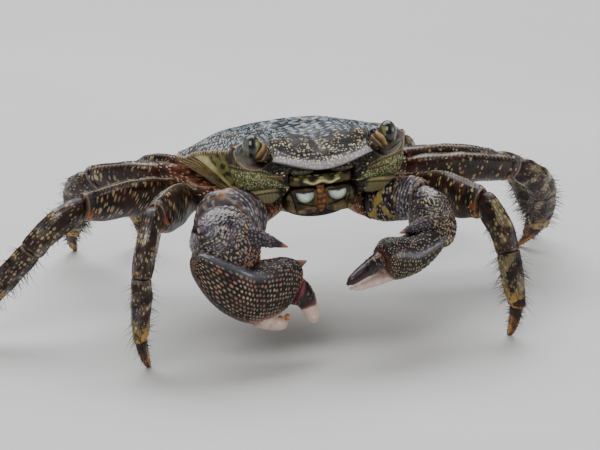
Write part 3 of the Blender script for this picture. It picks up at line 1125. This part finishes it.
# ---- the body's own pieces ----
def thorax_parts(limbs):
    """The chest, an oval grooved across by sin(y)^8, with the ten leg bases growing out of it."""
    rings, _ = ball(THORAX_CENTRE, THORAX_RADII, 90, 120)
    rows = np.sin((rings[..., 1] - 2) * 2 * PI / 7.5) ** 8
    relief = -0.35 * rows * smooth(2, 8, abs(rings[..., 0])) - 0.3 * bump(0, 0.6, rings[..., 0])
    rings = raised(rings, relief)
    rings[..., 2] = np.minimum(rings[..., 2], belly_height(rings[..., 1]) - GAP)
    cream = cloud(rings, 7, 61, 0, 1)
    parts = [dressed(to_floor(rings), 0.4, "a99f86", ("6b604c", rows), ("c9c0a4", cream))]
    share = np.linspace(0, 1, 40)
    for root, normal, sideways, shape, size in limbs:
        limb = base_rings(root, normal, sideways, shape, size, share, TURN)
        limb = raised(limb, 0.12 * drift(limb, 5, 62))
        spread = share[:, None] * 14 + 0 * TURN
        parts.append(dressed(
            limb, 0.45, "7a4a3a", ("b39a80", cloud(limb, 4, 63, 0, 1)),
            ("4a2018", cloud(limb, 2.5, 64, 0.2, 1)),
            ("2a1813", smooth(0.75, 1.0, share)[:, None] + 0 * TURN),
            grains=((1.0, spread / 0.9, abs(TURN - PI)[None, :] * 3.2, "b89a78"),)))
    return parts


def abdomen_parts():
    """The tail flap folded under the chest: a shell 1.5 thick between two ovals, cut to a tongue outline."""
    down = np.linspace(0, 1, 90)[:, None]
    across = np.concatenate([np.linspace(-1, 1, 40), np.linspace(1, -1, 40)])[None, :]
    y = lerp(25.0, -9.0, down) + 0 * across
    half = np.where(y > 17.5, 9.0, lerp(1.6, 9.0, smooth(-9, 17.5, y) ** 1.6))
    x = half * across
    outer = (np.arange(80) < 40)[None, :]
    skin_radius = THORAX_RADII + np.where(outer, GAP + 1.5, GAP)[..., None]
    inside = 1 - (x / skin_radius[..., 0]) ** 2 - ((y - 2) / skin_radius[..., 1]) ** 2
    z = -10 - skin_radius[..., 2] * np.sqrt(np.clip(inside, 0.002, 1))
    z = np.minimum(z, belly_height(y) - 0.35)
    rows = np.sin((y + 9) * 2 * PI / 11.5) ** 12
    rings = np.stack([x, y, z + 0.35 * rows * outer], -1)
    return [dressed(to_floor(rings), 0.4, "9c9077", ("57492f", rows * outer))]


def mouth_frame_parts():
    """A bar across the top of the mouth: olive lumps above, a cream ridge like a moustache below."""
    share = np.linspace(-1, 1, 190)[:, None]
    turn = circle(110)[None, :]
    x = 8.7 * share + 0 * turn
    top = -6.2 - 0.8 * (1 - share ** 2)
    bottom = -9.4 - 0.4 * (1 - share ** 2)
    round_end = np.clip(1 - abs(share) ** 14, 0.04, 1) ** 0.5
    rise, depth = squared(turn, 0.5)
    z = (top + bottom) / 2 + rise * (top - bottom) / 2 * round_end
    face = smooth(0.3, 0.8, depth)
    height = (z - bottom) / (top - bottom)
    lump, lump_name = beads(x + 40, height * 2.2, 2.1, 0.9, 73, 0.5, 0.2)
    olive = lump * smooth(0.5, 0.62, height) * smooth(0.95, 0.8, abs(share))
    wave = bump(0.3 + 0.12 * np.cos(share * 12), 0.17 - 0.08 * abs(share), height)
    wave = wave * smooth(0.6, 0.5, abs(share))
    y = -20.4 - depth * 1.8 * round_end - face * (0.6 * olive + 0.8 * wave - 0.4)
    rings = np.stack([x, y, z], -1)
    return [dressed(
        to_floor(rings), 0.5, "221a10", ("4a4526", cloud(rings, 3, 74, -0.3, 0.7)),
        ("7b7a42", face * smooth(0.2, 0.7, olive) * (lump_name > 0.3)),
        ("a09a70", face * smooth(0.5, 0.9, olive) * (lump_name > 0.7)),
        ("5e3f24", face * cloud(rings, 2, 72, 0.3, 0.9) * 0.7 * smooth(0.5, 0.3, height)),
        ("6f6a3a", face * smooth(0.1, 0.3, wave)), ("c8c096", face * smooth(0.35, 0.75, wave)))]


def maxilliped_parts(side):
    """A rounded-square plate, narrower below: olive brown, cleft by dark lines, a white half moon on top."""
    share = np.linspace(0, 1, 80)[:, None]
    turn = circle(110)[None, :]
    size = np.sin(share * PI / 2) ** 0.8
    u, v = (wave * size for wave in squared(turn, 0.6))
    x = side * 4.8 + 4.35 * u * (1 - 0.08 * np.maximum(0, -v))
    z = -13.5 + 3.25 * v
    pad = 0.9 * np.sqrt(np.clip(1 - size ** 6, 0, 1))
    across = abs(x) - 4.2
    disc = (across / 2.4) ** 2 + ((z + 11.6) / 2.3) ** 2
    brow = -11.4 - 0.3 * bump(0.3, 0.7, across) - 0.15 * bump(-1.1, 0.4, across)
    brow = brow + 0.2 * bump(2.2, 0.6, across)
    moon = smooth(1.05, 0.85, disc) * smooth(0.2, -0.25, z - brow)
    notch = 0.8 * bump(0.25, 0.3, z - brow) * smooth(2.8, 2.2, abs(across))
    split = bump(-14.4 + 0.3 * across, 0.16, z) + bump(2.9 + 0.25 * (z + 14), 0.14, across)
    split = split + bump(-3.3, 0.2, across)
    uneven = drift(np.stack([x, 0 * x, z], -1), 3, 81)
    front_y = -20 - pad + 0.35 * split - 0.12 * uneven - 0.3 * moon + 0.3 * notch
    front = np.stack([x, front_y, z], -1)
    back = np.stack([x, -20 + pad + 0 * x, z], -1)
    rings = np.concatenate([front, back[::-1][1:]])
    skin = painted(
        front, "332616",
        ("574c2c", smooth(0, 0.9, uneven)),
        ("7a4a22", 0.8 * smooth(-2.2, -3.2, across)),
        ("6b5f40", smooth(-14.8, -15.6, z) * smooth(-0.5, 0.5, uneven + 0.4)),
        ("150e08", np.maximum(split, 0.7 * smooth(0.93, 1, size + 0 * u))),
        ("8fa294", moon),
        ("d0dbd0", moon * smooth(0.75, 0.3, disc)),
        ("1d150e", notch),
    )
    skin = np.concatenate([skin, skin[::-1][1:]])
    return [shell(to_floor(rings), skin, 0.6)]


def mouth_middle_parts():
    """Ovals: the soft strip between the mouth plates, the mouth's floor and two folded feelers."""
    strip, way = ball(arr(0, -19.9, -12.6), arr(1.5, 1.1, 3.9), 60, 40)
    rows = 0.5 + 0.5 * np.sin(strip[..., 2] * 2 * PI / 1.3 + 0.6 * drift(strip, 2, 84))
    strip = raised(strip, 0.12 * rows)
    floor, _ = ball(arr(0, -17.2, -14.2), arr(9.4, 2.6, 3.9), 40, 60)
    parts = [
        dressed(to_floor(strip), 0.6, "4a2c16", ("9a6a34", rows * (0.6 + 0.5 * drift(strip, 2, 85))),
                ("120c08", smooth(0.5, 0.9, abs(way[..., 0])))),
        dressed(to_floor(floor), 0.4, "21160f", ("4a3020", cloud(floor, 2.5, 86, 0, 0.8)))]
    for side in (-1, 1):
        lump, way = ball(arr(side * 5.2, -22.8, -5.9), arr(3.0, 1.0, 0.75), 30, 50)
        bands = 0.5 + 0.5 * np.sin(lump[..., 0] * 2 * PI / 1.2)
        layer = ("6f6650", bands * smooth(-0.6, 0.4, way[..., 2]))
        parts.append(dressed(to_floor(lump), 0.5, "3a3226", layer))
    return parts


def eye_parts(side):
    """An upright oval of dark glass: a black upright band, olive toward the stalk, grey lights outside."""
    rings, way = ball(EYE_CENTRE * arr(side, 1, 1), EYE_RADII * 1.04, 80, 100)
    look = unit(arr(-0.25, -0.95, 0.1))
    across = way @ unit(np.cross(look, arr(0, 0, 1)))
    inner = -side * way[..., 0]
    front = way @ look > 0
    band = smooth(0.36, 0.2, abs(across)) * smooth(0.95, 0.7, abs(way[..., 2])) * front
    return [dressed(
        to_floor(rings), 1.0, "34362f", ("6f7068", 0.7 * smooth(0.15, 0.7, -inner)),
        ("77763a", smooth(0.15, 0.5, inner) * smooth(0.8, 0.4, way[..., 2])),
        ("30200f", smooth(0.72, 0.9, inner)), ("12130f", band), ("1d1e1c", smooth(0.5, 0.9, way[..., 2])))]


def bar_rings(root, end, radii, share, turn):
    """A round bar whose radius runs from the first value to the second."""
    axis = unit(end - root)
    side = unit(arr(0, 1, 0) - axis * axis[1])
    up = np.cross(side, axis)
    radius = swell(radii, share)[:, None]
    round_way = np.cos(turn)[:, None] * up + np.sin(turn)[:, None] * side
    return lerp(root, end, share[:, None])[:, None] + round_way[None] * radius[..., None]


def stalk_parts(side):
    """A short thick stalk that cups the eye, ringed cream, amber, white and brown from the eye inward."""
    share = np.linspace(0, 0.86, 90)
    turn = circle(80)
    flip = arr(side, 1, 1)
    rings = bar_rings(STALK_ROOT * flip, EYE_CENTRE * flip, (1.6, 2.35, 0.25), share, turn)
    rings = raised(rings, 0.12 * bump(0.6, 0.04, share)[:, None] + 0.06 * drift(rings, 2, 95))
    place = share[:, None] + 0.03 * drift(rings, 3, 96)
    return [dressed(
        to_floor(rings), 0.5, "2e2720", ("4a3626", smooth(0.15, 0.25, place)),
        ("7f745a", smooth(0.33, 0.38, place)), ("3f2c1e", smooth(0.41, 0.46, place)),
        ("5f4226", smooth(0.5, 0.57, place)), ("94692c", smooth(0.58, 0.65, place)),
        ("9c9374", smooth(0.67, 0.7, place)), ("4f3d24", smooth(0.71, 0.74, place)),
        ("1c1510", smooth(0.75, 0.78, place)),
        grains=((smooth(0.26, 0.2, place), turn[None, :] * 3, share[:, None] * 12, "a09a88"),))]


def feeler_parts(side):
    """A short jointed feeler: a tapered bar with a bead at each joint."""
    share = np.linspace(0, 1, 60)
    turn = circle(20)
    flip = arr(side, 1, 1)
    ends = arr(11.4, -25.2, -6.5) * flip, arr(15.8, -28.6, -5.4) * flip
    rings = bar_rings(*ends, (0.55, 0.28, 0), share, turn)
    rings = raised(rings, 0.06 * np.sin(share * 60)[:, None])
    return [dressed(
        to_floor(rings), 0.5, "6b5a34", ("2a1c10", (0.5 - 0.5 * np.sin(share * 60))[:, None] + 0 * turn))]


# ---- the crab ----
piece("carapace_shell", carapace_parts(), BACK_SHELL, "carapace_shell", "carapace")
bases = [build_leg(name) for name in LEGS] + [build_claw(name) for name in CLAWS]
piece("chest_shell", thorax_parts(bases), BELLY_SHELL, "belly_shell", "thorax")
piece("tail_flap_shell", abdomen_parts(), BELLY_SHELL, "belly_shell", "abdomen")
piece("mouth_bar_shell", mouth_frame_parts(), MOUTH_SHELL, "mouth_shell", "mouth_frame")
piece("mouth_middle", mouth_middle_parts(), MOUTH_SHELL, "mouth_shell")
for word, side in (("right", -1), ("left", 1)):
    parts = maxilliped_parts(side)
    piece(f"mouth_plate_{word}_shell", parts, MOUTH_SHELL, "mouth_shell", f"maxilliped_{word}")
    piece(f"cornea_{word}", eye_parts(side), CORNEA, "cornea", f"eye_{word}")
    piece(f"eyestalk_{word}_shell", stalk_parts(side), STALK_SHELL, "eyestalk_shell", f"eyestalk_{word}")
    piece(f"feeler_{word}", feeler_parts(side), MOUTH_SHELL, "mouth_shell", f"antenna_{word}")


# ---- floor, light and camera ----
def build_floor():
    """A plain pale floor at height 0."""
    mesh, reach = bpy.data.meshes.new("floor"), 4
    corners = [(-reach, -reach, 0), (reach, -reach, 0), (reach, reach, 0), (-reach, reach, 0)]
    mesh.from_pydata(corners, [], [(0, 1, 2, 3)])
    material = bpy.data.materials.new("pale floor")
    material.use_nodes = True
    tree = material.node_tree
    cloudy = noise(tree, node(tree, "TexCoord", {}, "Object"), 6.0)
    colour = mixed(tree, remap(tree, cloudy, 0.3, 0.7), (0.60, 0.60, 0.59, 1), (0.64, 0.64, 0.63, 1))
    surface = tree.nodes["Principled BSDF"]
    tree.links.new(colour, surface.inputs["Base Color"])
    surface.inputs["Roughness"].default_value = 0.75
    mesh.materials.append(material)
    floor = placed(bpy.data.objects.new("floor", mesh))


def aim(thing, target):
    """Turns a light or the camera toward a target."""
    thing.rotation_euler = (Vector(target) - thing.location).to_track_quat("-Z", "Y").to_euler()


def soft_light(name, place, target, width, height, power, colour=(1, 1, 1)):
    """A rectangular panel of light, its power in watts."""
    data = bpy.data.lights.new(name, "AREA")
    data.shape = "RECTANGLE"
    data.size, data.size_y, data.energy, data.color = width, height, power, colour
    light = placed(bpy.data.objects.new(name, data))
    light.location = place
    aim(light, target)


build_floor()
middle = (0.0, 0.0, 0.03)
soft_light("overhead panel", (0.0, 0.35, 0.8), middle, 1.2, 0.8, 14.0, (0.97, 0.98, 1.0))
soft_light("front left panel", (-0.45, -0.75, 0.75), middle, 0.6, 0.6, 6.0, (1.0, 0.98, 0.95))
soft_light("front right panel", (0.8, -0.5, 0.35), middle, 0.5, 0.4, 2.0, (1.0, 1.0, 1.0))
world = bpy.data.worlds.new("studio air")
bpy.context.scene.world = world
world.use_nodes = True
air = world.node_tree.nodes["Background"].inputs
air["Color"].default_value = (0.84, 0.86, 0.89, 1)
air["Strength"].default_value = 0.2

AZIMUTH, ELEVATION, DISTANCE = np.radians(-17.4), np.radians(18.0), 520.0
SENSOR_WIDTH, PICTURE_WIDTH, FOCAL_LENGTH_IN_PIXELS = 36, 600, 1989.68
TARGET = arr(0, 0, 22) + SHIFT
back = arr(np.sin(AZIMUTH) * np.cos(ELEVATION), -np.cos(AZIMUTH) * np.cos(ELEVATION), np.sin(ELEVATION))
lens = bpy.data.cameras.new("camera")
lens.lens = FOCAL_LENGTH_IN_PIXELS * SENSOR_WIDTH / PICTURE_WIDTH
lens.sensor_width = SENSOR_WIDTH
lens.sensor_fit = "HORIZONTAL"
lens.shift_x = 0.011
lens.shift_y = 0.002
lens.clip_start = 0.01
camera = placed(bpy.data.objects.new("camera", lens))
camera.location = (TARGET + back * DISTANCE) * MM
aim(camera, TARGET * MM)
bpy.context.scene.camera = camera
